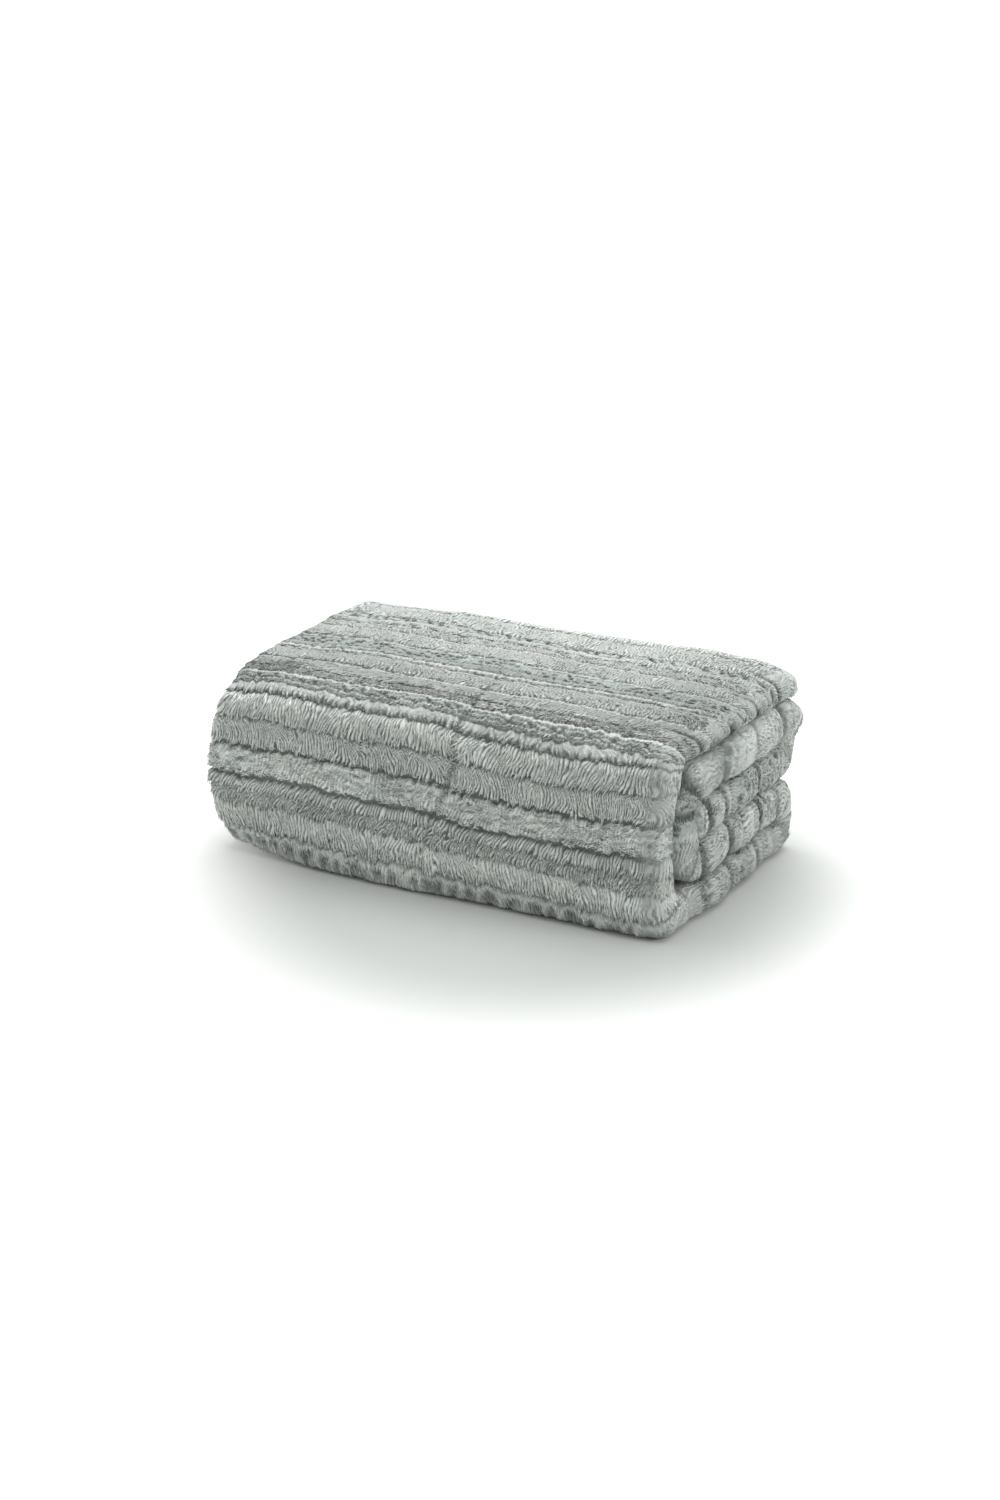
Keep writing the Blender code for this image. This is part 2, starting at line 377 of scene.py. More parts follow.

# The ribs in order from the back edge, over the top and down the front: width in mm, kind, and how much
# lighter than its kind, matched to how light each rib looks lit, so that it holds painted light and shade as
# well as the rib's own tone. Under the block and inside it they repeat.
RIBS = [
    (22, "wide", 0.02), (31, "dense", -0.05), (9, "beaded", -0.08), (12, "dense", -0.10),
    (16, "heather", -0.09), (6, "thin", -0.06), (24, "dense", -0.16), (6, "thin", -0.05),
    (17, "beaded", -0.19), (10, "dense", -0.31), (10, "rope", 0.04), (3, "groove", 0.0),
    (4, "heather", -0.03), (30, "wide", -0.26), (7, "thin", -0.03), (23, "wide", -0.35),
    (16, "heather", -0.33), (7, "thin", 0.05), (7, "beaded", -0.28), (3, "thin", 0.04),
    (4, "thin", -0.36), (13, "rope", -0.02), (2, "line", 0.02), (27, "wide", -0.03), (2, "line", -0.06),
    (25, "dense", 0.06), (4, "groove", 0.0), (26, "streak", 0.08), (4, "groove", 0.10),
    (12, "wide", -0.23), (14, "heather", 0.04), (23, "wide", 0.0), (2, "line", 0.24), (20, "dimple", 0.0),
]
RIB_WIDTHS = np.array([width for width, _, _ in RIBS]) * MM
RIB_STARTS = np.concatenate([[0.0], np.cumsum(RIB_WIDTHS)])
RIB_KINDS = np.array([KIND_NAMES.index(kind) for _, kind, _ in RIBS])
RIB_SHIFTS = np.array([shift for _, _, shift in RIBS])
REPEAT = RIB_STARTS[-1]
ABOVE_GROOVE = np.roll(RIB_KINDS, -1) == KIND_NAMES.index("groove")
RIB_OVERHANG = np.where(ABOVE_GROOVE, 5.0, 6.0) * MM  # how far a rib's pile may hang over the next
RIB_LIP = np.where(ABOVE_GROOVE, 1.0, 0.5)  # how sharply a rib falls off
LIP_WIDTH, NOTCH_WIDTH = 2.6 * MM, 1.3 * MM  # where a rib falls off, and where it is pressed by the one above
HEM_AT = 0.0057  # the first rib starts this far past the hem
CROWN_TOP = 6.0 * MM
PROUD = 1.0 * MM  # the highest ribs stand this far out of the CAD surface
FLAT_CROWN = 3.9 * MM  # what the flatter ribs of the top even out to
FLAT_SHADE = ((0.0, 0.10, 0.17, 0.25), (0.46, 0.43, 0.37, 0.35))  # their lightness, by distance from the hem
ROLL_FROM, ROLL_TO = U_MARKS[1] - 0.004, U_MARKS[2] + 0.004  # the wide fold, where the ribs show as rings
SLOT_ROW, SLOT_PITCH, SLOT_DEPTH = 0.0065, 0.0105, 3.0 * MM
DIMPLE_PITCH, DIMPLE_RADIUS, DIMPLE_DEPTH = 0.021, 0.0044, 1.5 * MM
PIT_WIDTH, PIT_DEPTH = 0.0032, 2.8 * MM  # the rolled end's creases
CRUSH_WIDTH, CRUSH_DEPTH = 0.0038, 2.1 * MM  # the crease of an earlier fold
LOWEST, HIGHEST = 0.1 * MM, 8.0 * MM
EDGE_ROUND = 0.006  # the face and the lining round down to their seam over this much


def crush_line(w):
    """Where across x the crease of an earlier fold crosses, and how strong it is there."""
    x = np.interp(w, [0.05, 0.10, 0.117, 0.24, 0.31, 0.38], [-0.080, -0.072, 0.0, 0.030, 0.026, -0.004])
    strength = np.interp(w, [0.0, 0.06, 0.20, 0.26, 0.37, 0.42], [0.0, 0.25, 0.5, 1.0, 1.0, 0.0])
    return x, strength


def edge_share(u, s):
    """0 on a cut edge of the cloth, and 1 from EDGE_ROUND inwards."""
    edge = np.minimum(np.minimum(u, FLAT_LENGTH - u), np.minimum(s, FLAT_WIDTH - s))
    return np.clip(edge / EDGE_ROUND, 0, 1)


def rounded(share):
    return np.sqrt(np.clip(1 - (1 - share) ** 2, 0, 1))


class Cloth:
    """The carved face at places (u, s) of the cloth: its height, lightness, warmth and kind of rib."""

    def __init__(self, u, s):
        self.u, self.s = np.broadcast_arrays(np.asarray(u, float), np.asarray(s, float))
        self.w = outside(self.s)
        self.edge = edge_share(self.u, self.s)
        self.find_rib()
        self.shape_dome()
        self.gather_end()
        self.lay_strokes()
        self.lay_patterns()
        self.height = self.stand()
        self.shade = self.lighten()
        self.flecked = 0.06 + 0.16 * smooth(self.w, 0.262, 0.290) * (1 - 0.6 * self.roll)
        # The dark tips have a hue of their own: warm in the heathered bands, cool in the spotted ribs.
        warm = np.where(self.on("heather"), 0.7, 0.0) - np.where(self.on("beaded"), 0.8, 0.0)
        self.warmth = warm + 0.3 * noise(self.u / 0.02, self.w / 0.02, 54)

    def on(self, name):
        return self.kind == KIND_NAMES.index(name)

    def its(self, value):
        return KIND_TABLE[value][self.kind]

    def find_rib(self):
        """Which rib each place is on, and t, how far down it. An old crease shifts the ribs a little."""
        u, w = self.u, self.w
        x = LETTER.read(u)[0]
        crease, self.strength = crush_line(w)
        self.off = x - crease - 0.003 * noise(w / 0.011, 0.0, 25)
        step = 0.0035 * self.strength * (1 - np.tanh(self.off / 0.004)) / 2
        place = w + HEM_AT - 0.016 * (x - 0.155) + step
        place = place + 0.0016 * noise(u / 0.065, w / 0.05, 21) + 0.0008 * noise(u / 0.021, w / 0.02, 22)
        place = place + 0.0026 * noise(u / 0.0042, w / 0.012, 23)
        place = place + 0.0012 * self.strength * bell(self.off, 0, 0.02) * noise(u / 0.006, w / 0.006, 24)
        turn = np.floor(place / REPEAT)
        self.place = place - turn * REPEAT
        self.rib = np.clip(np.searchsorted(RIB_STARTS, self.place, "right") - 1, 0, len(RIBS) - 1)
        self.rib_key = self.rib + 100 * turn.astype(np.int64)
        self.kind = RIB_KINDS[self.rib]
        self.width = RIB_WIDTHS[self.rib]
        self.t = (self.place - RIB_STARTS[self.rib]) / self.width
        self.across = (self.t - 0.5) * self.width
        self.to_lip = (1 - self.t) * self.width
        self.overhang = RIB_OVERHANG[self.rib]
        self.tooth = smooth(noise(u / 0.0046, 1.7 * self.rib_key, 38), -0.4, 0.4)

    def shape_dome(self):
        """How high the rib is down its width: low under the lip above it, highest before its own lip."""
        u, t, start = self.u, self.t, self.its("start")
        fall = np.clip(self.to_lip / LIP_WIDTH, 0, 1)
        notch = 1 - 0.75 * RIB_LIP[self.rib - 1] * np.exp(-((t * self.width / NOTCH_WIDTH) ** 2))
        dome = (start + (1 - start) * np.sin(np.pi / 2 * np.clip(t / 0.85, 0, 1)) ** 1.2) * notch
        dome = dome * (1 - RIB_LIP[self.rib] * (1 - np.sqrt(1 - (1 - fall) ** 2)))
        # On the rolled end each rib stands out as a plump ring.
        past_roll = smooth(u, ROLL_TO - 0.006, ROLL_TO + 0.010)
        self.roll = smooth(u, ROLL_FROM - 0.020, ROLL_FROM) * (1 - past_roll)
        ring = 0.10 + 0.90 * np.sin(np.pi * np.clip(t, 0, 1)) ** 0.55
        self.dome = dome + 0.15 * self.roll * (ring - dome)

    def gather_end(self):
        """How much of each place lies in the pit of one of the rolled end's creases."""
        u = self.u
        gathered = smooth(u, ROLL_FROM - 0.030, ROLL_FROM) * (1 - smooth(u, ROLL_TO - 0.004, ROLL_TO + 0.034))
        _, from_crease, number = pucker(self.s + 0.003 * noise(u / 0.02, 0.0, 36))
        deepest = ROLL_FROM + (ROLL_TO - ROLL_FROM) * (0.15 + 0.7 * hash01(number, 3, 39))
        pit = gathered * np.exp(-((from_crease / PIT_WIDTH) ** 2)) * (0.25 + 0.75 * bell(u, deepest, 0.020))
        self.pit = pit * np.where(self.s < S_MARKS[1], 0.6, 1.0)

    def lay_strokes(self):
        """Clumps of pile lying across the rib, curving as they go."""
        u, w, across, width, pitch = self.u, self.w, self.across, self.width, self.its("pitch")
        slant = 0.9 * (hash01(self.rib_key, 7, 31) - 0.5) + 0.5 * noise(u / 0.03, w / 0.03, 32)
        curve = 1.1 * (hash01(self.rib_key, 8, 31) - 0.65)
        self.lean = slant + 2 * curve * across / width
        phase = (u + slant * across + curve * across**2 / width) / pitch
        phase = phase + 0.8 * noise(u / 0.010, w / 0.011, 33) + 0.25 * noise(u / 0.004, w / 0.007, 34)
        clump = np.round(phase)
        self.clump_offset = (phase - clump) * pitch
        self.ridge = 0.5 + 0.5 * np.cos(TAU * (phase - clump))
        self.luck = hash01(clump, self.rib_key, 35)
        self.to_tips = smooth(self.t, 0.5, 0.95)
        depth = np.clip(0.55 + 0.55 * self.luck + 0.25 * noise(u / 0.011, w / 0.009, 37), 0.1, 1.5)
        self.strokes = (self.ridge**0.6 - 0.63) * depth * (1 + 0.5 * self.to_tips)

    def lay_patterns(self):
        """Streaks along the rib, slots in the spotted ribs, flecks in the heathered ones, and dimples."""
        u, w, t, place = self.u, self.w, self.t, self.place
        self.streaks = noise(u / 0.016, place / 0.0024, 41) + 0.5 * noise(u / 0.007, place / 0.0014, 42)
        self.speckle = noise(u / 0.0021, place / 0.0026, 46) + 0.6 * noise(u / 0.0038, place / 0.0034, 47)
        rows = np.round(self.width / SLOT_ROW)
        row = np.floor(t * rows)
        key = self.rib_key * 7 + row.astype(np.int64)
        phase = (u + 0.5 * self.across) / SLOT_PITCH + 0.5 * row + 0.6 * noise(u / 0.02, w / 0.02, 43)
        number = np.round(phase)
        slot = bell(phase - number, 0, 0.20 + 0.14 * hash01(number, key, 44))
        slot = slot * smooth(hash01(number, key, 45), 0.25, 0.70) * np.sin(np.pi * (t * rows - row)) ** 0.7
        self.slot = np.where(self.on("beaded"), slot, 0.0)
        cell = u / DIMPLE_PITCH + 0.30 * noise(u / 0.015, 0.0, 48)
        away = np.hypot((cell - np.round(cell)) * DIMPLE_PITCH / 1.5, self.across + 0.001)
        away = away + 0.0008 * noise(u / 0.004, w / 0.004, 49)
        self.dimple = np.exp(-((away / DIMPLE_RADIUS) ** 2)) - 0.45 * bell(away, 0.0076, 0.0022)

    def stand(self):
        """The height of the pile above the foot of the deepest groove."""
        stroke, strokes, dome = self.its("stroke"), self.strokes, self.dome
        texture = stroke * strokes
        texture = np.where(self.on("streak"), stroke * (0.8 * self.streaks + 0.3 * strokes), texture)
        texture = np.where(self.on("heather"), stroke * (0.25 * self.speckle + 0.9 * strokes), texture)
        texture = np.where(self.on("dimple"), texture - DIMPLE_DEPTH * self.dimple, texture)
        puff = 0.6 * MM * noise(self.u / 0.02, self.w / 0.015, 51)
        raw = self.its("crown") * dome + texture * (0.35 + 0.65 * dome) + puff * dome
        # The top lies flatter than the front.
        self.relief = (1 - 0.60 * (1 - smooth(self.w, 0.19, 0.268))) * (1 - 0.60 * self.roll)
        raw = FLAT_CROWN + (raw - FLAT_CROWN) * self.relief + 0.30 * texture * (1 - self.relief)
        press = CRUSH_DEPTH * self.strength * bell(self.off, 0, CRUSH_WIDTH)
        return np.clip(raw - SLOT_DEPTH * self.slot - press - PIT_DEPTH * self.pit, LOWEST, HIGHEST)

    def lighten(self):
        """How light the pile is, from the dark roots at 0 to the lightest tips at about 1, with painted shade
        in its hollows, creases and gaps.
        """
        u, w, roll, strokes, relief = self.u, self.w, self.roll, self.strokes, self.relief
        # Painted shade: lower on the rib, under the lip of the one above, in the gaps between the clumps, and
        # most in those gaps near the lip.
        shade = self.its("tone") * (0.66 + 0.34 * self.dome)
        shade = shade + self.its("tint") * (1 - 0.60 * roll) * strokes + 0.10 * (self.luck - 0.5)
        shade = shade - 0.30 * (1 - self.ridge) * self.to_tips * (1 - roll)
        # The dimples are painted in shade, with a painted highlight on their raised rims.
        patterns = {
            "heather": 0.10 * self.speckle,
            "dimple": -0.38 * self.dimple,
            "streak": 0.20 * self.streaks,
        }
        for name, pattern in patterns.items():
            shade = np.where(self.on(name), shade + pattern, shade)
        # Painted shade in the crease of the old fold.
        shade = shade - 0.24 * self.strength * bell(self.off, 0, CRUSH_WIDTH)
        shade = shade + 0.06 * noise(u / 0.05, w / 0.03, 52) + 0.08 * noise(u / 0.012, w / 0.012, 53)
        even = np.interp(w, *FLAT_SHADE)
        # On the flatter top this painted shade is evened out towards its set lightness.
        shade = even + (shade - even) * (0.10 + 0.90 * relief) + 0.25 * strokes * (1 - relief)
        # Painted shade in the slots of the spotted ribs and in the pits of the rolled end's creases.
        shade = shade + RIB_SHIFTS[self.rib] * (1 - 0.5 * roll) - 0.55 * self.slot - 0.90 * self.pit
        # Painted shade: the top layer is a little darker where it turns down over the right end, away from the
        # light.
        shaded_over_end = smooth(u, ROLL_FROM - 0.03, ROLL_FROM) * (1 - smooth(u, ROLL_TO + 0.02, ROLL_TO + 0.13))
        return np.clip(shade - 0.11 * shaded_over_end * (self.s < S_MARKS[1]), 0.02, 1.15)

    def top(self):
        """How high the face stands above the ply's middle line, rounded down to the seam at its edges."""
        seam_height = JOIN + 0.5 * MM
        return seam_height + (FUR_TOP + PROUD - CROWN_TOP + self.height - seam_height) * rounded(self.edge)


def rest_on_floor(points):
    points[..., 2] = np.maximum(points[..., 2], 0.0003)
    return points


# -------- meshes

def spaced(low, high, step):
    return np.linspace(low, high, max(2, int(math.ceil((high - low) / step)) + 1))


def chained(start, *spans):
    """Positions from start on, over spans that follow each other, each (end, step)."""
    out = [start]
    for end, step in spans:
        out.extend(spaced(out[-1], end, step)[1:])
    return np.array(out)


def zipped(first, first_at, second, second_at):
    """Triangles between two rows of points whose places along the rows differ."""
    faces = []
    i = j = 0
    while i < len(first) - 1 or j < len(second) - 1:
        step_first = j == len(second) - 1 or (i < len(first) - 1 and first_at[i + 1] <= second_at[j + 1])
        if step_first:
            faces.append((first[i], first[i + 1], second[j]))
            i += 1
        else:
            faces.append((first[i], second[j + 1], second[j]))
            j += 1
    return faces


def skin(rows, count):
    """Faces over a surface's rows, each (s, array of u). Points are numbered row by row from count."""
    quads, triangles, numbers = [], [], []
    for _, columns in rows:
        numbers.append(np.arange(count, count + len(columns)))
        count += len(columns)
    for (near, (_, near_u)), (far, (_, far_u)) in zip(zip(numbers, rows), zip(numbers[1:], rows[1:])):
        if len(near_u) == len(far_u):
            quads.append(np.stack([near[:-1], near[1:], far[1:], far[:-1]], axis=1))
        else:
            triangles.extend(zipped(near, near_u, far, far_u))
    return np.concatenate(quads), np.array(triangles, np.int64).reshape(-1, 3), numbers, count


def make_object(name, points, quads, triangles, material):
    """A smooth mesh object from points, quads and triangles."""
    mesh = bpy.data.meshes.new(name)
    corners = np.concatenate([np.ravel(quads), np.ravel(triangles)]).astype(np.int32)
    starts = [np.arange(len(quads)) * 4, len(quads) * 4 + np.arange(len(triangles)) * 3]
    starts = np.concatenate(starts).astype(np.int32)
    mesh.vertices.add(len(points))
    mesh.vertices.foreach_set("co", points.astype(np.float32).ravel())
    mesh.loops.add(len(corners))
    mesh.loops.foreach_set("vertex_index", corners)
    mesh.polygons.add(len(starts))
    mesh.polygons.foreach_set("loop_start", starts)
    mesh.update(calc_edges=True)
    mesh.polygons.foreach_set("use_smooth", np.ones(len(starts), bool))
    if material is not None:
        mesh.materials.append(material)
    obj = bpy.data.objects.new(name, mesh)
    bpy.context.scene.collection.objects.link(obj)
    return obj


def set_values(obj, name, values):
    layer = obj.data.attributes.new(name, "FLOAT", "POINT")
    layer.data.foreach_set("value", values.astype(np.float32))


def columns_for(upper_step, lower_step, fold_step):
    """Places along u for one row, closer on the folds and wherever the face shows."""
    lower, wide, upper, narrow, middle, end = U_MARKS
    near = 0.026
    return chained(
        lower, (0.012, 1.1 * MM), (lower + 0.040, 2.2 * MM), (wide - near, lower_step),
        (wide, fold_step * 1.4), (upper, fold_step), (narrow, upper_step), (middle, 0.9 * MM),
        (middle + near, 2.2 * MM), (end - 0.02, 0.018), (end, 4 * MM),
    )


def face_rows():
    """The face's rows: fine where it shows, coarse where it lies inside the stack."""
    marks = [float(outside(s)) for s in S_MARKS]
    fine = columns_for(1.25 * MM, 0.012, 1.0 * MM)
    plain = columns_for(6.0 * MM, 0.016, 1.1 * MM)
    lower_fine = columns_for(6.0 * MM, 2.0 * MM, 1.1 * MM)
    bottom_from = marks[4] + 0.030
    spans = [
        (0.0, 0.010, 1.0 * MM, fine),
        (0.010, bottom_from, 1.3 * MM, fine),
        (bottom_from, marks[5] - 0.020, 2.8 * MM, columns_for(3.0 * MM, 0.016, 1.1 * MM)),
        (marks[5] - 0.020, marks[6] + 0.015, 1.8 * MM, columns_for(1.9 * MM, 0.016, 1.1 * MM)),
        (marks[6] + 0.015, marks[11] - 0.015, 2.6 * MM, plain),
        (marks[11] - 0.015, marks[12] + 0.015, 1.9 * MM, lower_fine),
        (marks[12] + 0.015, marks[13] - 0.010, 3.2 * MM, plain),
        (marks[13] - 0.010, marks[13], 1.5 * MM, plain),
    ]
    rows = []
    for low, high, step, columns in spans:
        places = spaced(low, high, step)
        if rows:
            places = places[1:]
        rows.extend((float(inside(w)), columns) for w in places)
    return rows


def coarse_rows(step_u, step_w):
    """Rows for a surface without ribs, still close enough to round the folds."""
    lower, wide, upper, narrow, middle, end = U_MARKS
    near = 0.012
    columns = chained(
        lower, (near, 3 * MM), (wide, step_u), (upper, 3.2 * MM), (narrow, step_u), (middle, 1.6 * MM),
        (end - near, step_u), (end, 3 * MM),
    )
    total = float(outside(FLAT_WIDTH))
    places = chained(0.0, (near, 3 * MM), (total - near, step_w), (total, 3 * MM))
    return [(float(inside(w)), columns) for w in places]


def flat_places(rows):
    u = np.concatenate([columns for _, columns in rows])
    s = np.concatenate([np.full(len(columns), place) for place, columns in rows])
    return u, s


def closed_sheet(name, upper_rows, upper_height, lower_rows, lower_height, material):
    """A closed sheet from two skins and the rim between them, and how many points its upper skin has."""
    upper_u, upper_s = flat_places(upper_rows)
    lower_u, lower_s = flat_places(lower_rows)
    points = np.concatenate([
        folded(upper_u, upper_s, upper_height(upper_u, upper_s)),
        folded(lower_u, lower_s, lower_height(lower_u, lower_s)),
    ])
    quads_a, triangles_a, a, count = skin(upper_rows, 0)
    quads_b, triangles_b, b, count = skin(lower_rows, count)
    rim = []
    a_s, b_s = [s for s, _ in upper_rows], [s for s, _ in lower_rows]
    rim += zipped([r[0] for r in a], a_s, [r[0] for r in b], b_s)
    rim += [f[::-1] for f in zipped([r[-1] for r in a], a_s, [r[-1] for r in b], b_s)]
    rim += [f[::-1] for f in zipped(a[0], upper_rows[0][1], b[0], lower_rows[0][1])]
    rim += zipped(a[-1], upper_rows[-1][1], b[-1], lower_rows[-1][1])
    quads = np.concatenate([quads_a, quads_b[:, ::-1]])
    triangles = np.concatenate([triangles_a, triangles_b[:, ::-1], np.array(rim, np.int64)])
    obj = make_object(name, rest_on_floor(points), quads, triangles, material)
    return obj, len(upper_u)


# -------- the pile

TINTS = 8  # neutral tints, dark to light; then the same again warm, and again cool, for the darker ones
HUED_TINTS = 4
TUFTS_PER_M2 = 290_000
STRAY_SHARE = 0.12


def unit(v):
    return v / np.maximum(np.linalg.norm(v, axis=-1, keepdims=True), 1e-12)


def cloth_frame(u, s):
    """Directions on the settled cloth: across the ribs, along them, and out of the fur side."""
    reach, height = 0.0012, FUR_TOP
    down = unit(folded(u, s + reach, height) - folded(u, s - reach, height))
    out = unit(folded(u, s, height + 0.001) - folded(u, s, height))
    out = unit(out - down * np.sum(out * down, axis=-1, keepdims=True))
    return down, np.cross(down, out), out


def tint_slot(shade, warmth):
    """The material slot for each lock's lightness and hue."""
    slot = np.clip((shade * TINTS).astype(int), 0, TINTS - 1)
    hued = slot < HUED_TINTS
    slot = np.where(hued & (warmth > 0.45), TINTS + slot, slot)
    return np.where(hued & (warmth < -0.45), TINTS + HUED_TINTS + slot, slot)


def tufts(name, patches, seed, materials, density):
    """Tapered locks of pile over patches of cloth, each patch (u from, u to, w from, w to)."""
    rng = np.random.default_rng(seed)
    u_parts, s_parts = [], []
    for u_low, u_high, w_low, w_high in patches:
        count = int(TUFTS_PER_M2 * density * (u_high - u_low) * (w_high - w_low))
        u_parts.append(rng.uniform(u_low, u_high, count))
        s_parts.append(inside(rng.uniform(w_low, w_high, count)))
    u, s = np.concatenate(u_parts), np.concatenate(s_parts)
    n = len(u)
    cloth = Cloth(u, s)
    stray = rng.random(n) < STRAY_SHARE
    down, along, out = cloth_frame(u, s)
    lie = cloth.its("lie") * rng.uniform(0.6, 1.5, n)
    lie = np.where(stray, rng.uniform(0.5, 1.2, n), lie) * (0.35 + 0.65 * cloth.relief)
    length = cloth.its("tuft") * rng.uniform(0.65, 1.2, n)
    length = length * (0.6 + 0.4 * cloth.dome) * (0.8 + 0.4 * cloth.luck)
    # Near its lip a rib's pile is cut short, so that the groove below stays open.
    length = np.minimum(length, cloth.to_lip + cloth.tooth * rng.uniform(0.7, 1.0, n) * cloth.overhang)
    length = np.where(stray, rng.uniform(3.0, 5.5, n) * MM, length) * (0.5 + 0.5 * cloth.edge)
    width = rng.uniform(1.0, 1.8, n) * MM
    width = np.where(stray, rng.uniform(0.4, 0.7, n) * MM, width)
    # Along a streaked rib the pile lies lengthways, and either way at an old crease.
    streak = cloth.on("streak")
    swing = rng.normal(0, 0.10, n) - np.arctan(cloth.lean) + np.where(stray, rng.normal(0, 0.4, n), 0.0)
    swing = np.where(streak, rng.choice([-1, 1], n) * rng.uniform(1.0, 1.5, n), swing)
    swing = swing + np.sign(cloth.off) * 0.9 * cloth.strength * bell(cloth.off, 0, 0.012)
    comb = down * np.cos(swing)[:, None] + along * np.sin(swing)[:, None]
    heading = comb * np.cos(lie)[:, None] + out * np.sin(lie)[:, None]
    # The tips of a clump draw together on its middle line.
    drawn = np.where(streak | stray, 0.0, 0.6) * cloth.clump_offset / length
    heading = unit(heading - along * np.clip(drawn, -0.5, 0.5)[:, None])
    root = folded(u, s, cloth.top() - 0.7 * MM)
    tip = root + heading * length[:, None]
    half = np.cross(comb, out) * (width / 2)[:, None]
    crest = root + out * (width * (0.10 + 0.34 * cloth.relief))[:, None] - comb * (0.3 * width)[:, None]
    corners = np.stack([root - half, root + half, crest, tip], axis=1).reshape(-1, 3)
    first = np.arange(n)[:, None] * 4
    pattern = np.array([[0, 3, 1], [0, 1, 2], [1, 3, 2], [0, 2, 3]])
    triangles = (first[:, :, None] + pattern[None]).reshape(-1, 3)
    obj = make_object(name, rest_on_floor(corners), [], triangles, None)
    for material in materials:
        obj.data.materials.append(material)
    # Some locks are lighter or darker than the rib round them.
    fleck = rng.normal(0, 1, n)
    fleck = np.where(fleck > 0, 0.6 * fleck, 1.1 * fleck) * cloth.flecked
    # The locks are set 0.05 lighter than the face between them, which is painted in their shade.
    shade = cloth.shade + fleck * np.where(cloth.on("heather"), 1.5, 1.0) + 0.05
    tint = tint_slot(shade, cloth.warmth + rng.normal(0, 0.25, n))
    obj.data.polygons.foreach_set("material_index", np.repeat(tint, 4).astype(np.int32))
    obj.data.update()
    return obj


# -------- thread and label

def tube(name, centres, radii, sides, material):
    """A closed tube round a closed line of points."""
    ahead = np.roll(centres, -1, axis=0)
    behind = np.roll(centres, 1, axis=0)
    way = unit(ahead - behind)
    aside = unit(np.cross(way, np.array([0.31, 0.52, 0.79])))
    other = np.cross(way, aside)
    angles = np.arange(sides) * TAU / sides
    ring = aside[:, None] * np.cos(angles)[None, :, None] + other[:, None] * np.sin(angles)[None, :, None]
    points = (centres[:, None] + ring * radii[:, None, None]).reshape(-1, 3)
    n = len(centres)
    i, j = np.meshgrid(np.arange(n), np.arange(sides), indexing="ij")
    k, m = (i + 1) % n, (j + 1) % sides
    quads = np.stack([i * sides + j, i * sides + m, k * sides + m, k * sides + j], axis=-1).reshape(-1, 4)
    return make_object(name, points, quads[:, ::-1], [], material)


STITCH = 3.2 * MM
THREAD_CLEAR = 0.9 * MM


def seam(name, material):
    """The closing seam: a lockstitch thread along the four cut edges."""
    step = 0.8 * MM
    low, u_high, s_high = -THREAD_CLEAR, FLAT_LENGTH + THREAD_CLEAR, FLAT_WIDTH + THREAD_CLEAR
    along_s, along_u = np.arange(low, s_high, step), np.arange(low, u_high, step)
    to_s, to_u = np.ones(len(along_s)), np.ones(len(along_u))
    u = np.concatenate([low * to_s, along_u, u_high * to_s, along_u[::-1] + step])
    s = np.concatenate([along_s, s_high * to_u, along_s[::-1] + step, low * to_u])
    distance = np.arange(len(u)) * step
    wave = np.cos(TAU * distance / STITCH)
    centres = folded(u, s, JOIN + 0.12 * MM * wave)
    radii = (0.42 + 0.20 * wave) * MM
    return tube(name, rest_on_floor(centres), radii, 6, material)


def label(name, material):
    """The care label's tape: a thin woven strip with selvedges, hanging a little curled."""
    low, high = (np.array(corner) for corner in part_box("care_label"))
    across, drop, half_thick = 33, 25, 0.22 * MM
    a, b = np.meshgrid(np.linspace(0, 1, across), np.linspace(0, 1, drop), indexing="xy")
    x = low[0] + (high[0] - low[0]) * a
    z = high[2] - (high[2] - low[2]) * b
    curl = 0.9 * MM * b**2 * np.cos(np.pi * (a - 0.5)) + 0.5 * MM * b * np.sin(np.pi * 1.5 * a)
    y = (low[1] + high[1]) / 2 + curl
    selvedge = np.where((a < 0.05) | (a > 0.95), 1.35, 1.0) * np.where(b > 0.93, 1.6, 1.0)
    front = np.stack([x, y + half_thick * selvedge, z], axis=-1).reshape(-1, 3)
    back = np.stack([x, y - half_thick * selvedge, z], axis=-1).reshape(-1, 3)
    number = np.arange(across * drop).reshape(drop, across)
    quads = np.stack([number[:-1, :-1], number[:-1, 1:], number[1:, 1:], number[1:, :-1]], axis=-1)
    quads = quads.reshape(-1, 4)
    rim = np.concatenate([number[0, :], number[1:, -1], number[-1, -2::-1], number[-2:0:-1, 0]])
    after = np.roll(rim, -1)
    size = across * drop
    sides = np.stack([rim, rim + size, after + size, after], axis=-1)
    faces = np.concatenate([quads, quads[:, ::-1] + size, sides])
    return make_object(name, np.concatenate([front, back]), faces, [], material)


# -------- materials

SHADOW_FUR = np.array([0.115, 0.126, 0.119])
LIGHT_FUR = np.array([0.760, 0.795, 0.762])
WARM_HUE = np.array([1.018, 0.997, 0.990])
COOL_HUE = np.array([0.96, 1.005, 1.00])


def fur_colour(shade, hue=1.0):
    return (SHADOW_FUR + (LIGHT_FUR - SHADOW_FUR) * np.clip(shade, 0, 1.1) ** 1.15) * hue


